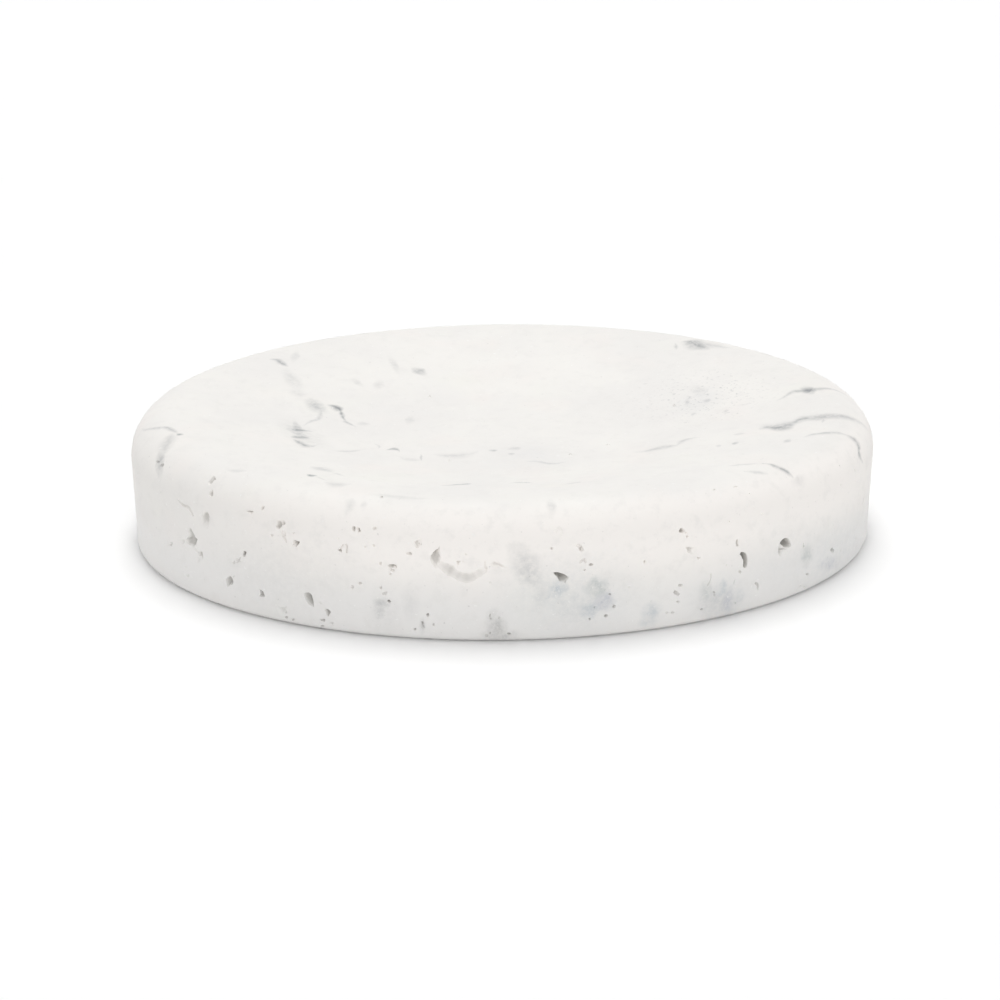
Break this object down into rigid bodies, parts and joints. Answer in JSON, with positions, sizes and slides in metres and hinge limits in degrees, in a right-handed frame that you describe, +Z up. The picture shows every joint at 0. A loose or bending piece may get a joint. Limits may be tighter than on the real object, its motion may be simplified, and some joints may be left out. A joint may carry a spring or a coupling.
{
  "type": "soap dish",
  "caption": "Oval soap dish of pale pitted stone with a broad rounded rim around a shallow smooth basin, standing on soft pads set into its flat base.",
  "frame": {"origin": "middle of the plane that the four pads stand on", "axes": "+X along the dish's length, -Y towards the front, +Z up out of the basin"},
  "size_m": [0.14, 0.115, 0.025],
  "materials": {
    "stone": "honed and matt, with open pits and thin grey veins",
    "pad": "soft matt elastomer",
    "adhesive": "translucent acrylic film"
  },
  "bodies": {
    "root": {"dish_body": "stone", "foot_pad_front_left": "pad", "foot_pad_front_right": "pad", "foot_pad_back_left": "pad", "foot_pad_back_right": "pad", "adhesive_disc_front_left": "adhesive", "adhesive_disc_front_right": "adhesive", "adhesive_disc_back_left": "adhesive", "adhesive_disc_back_right": "adhesive"}
  },
  "joints": []
}
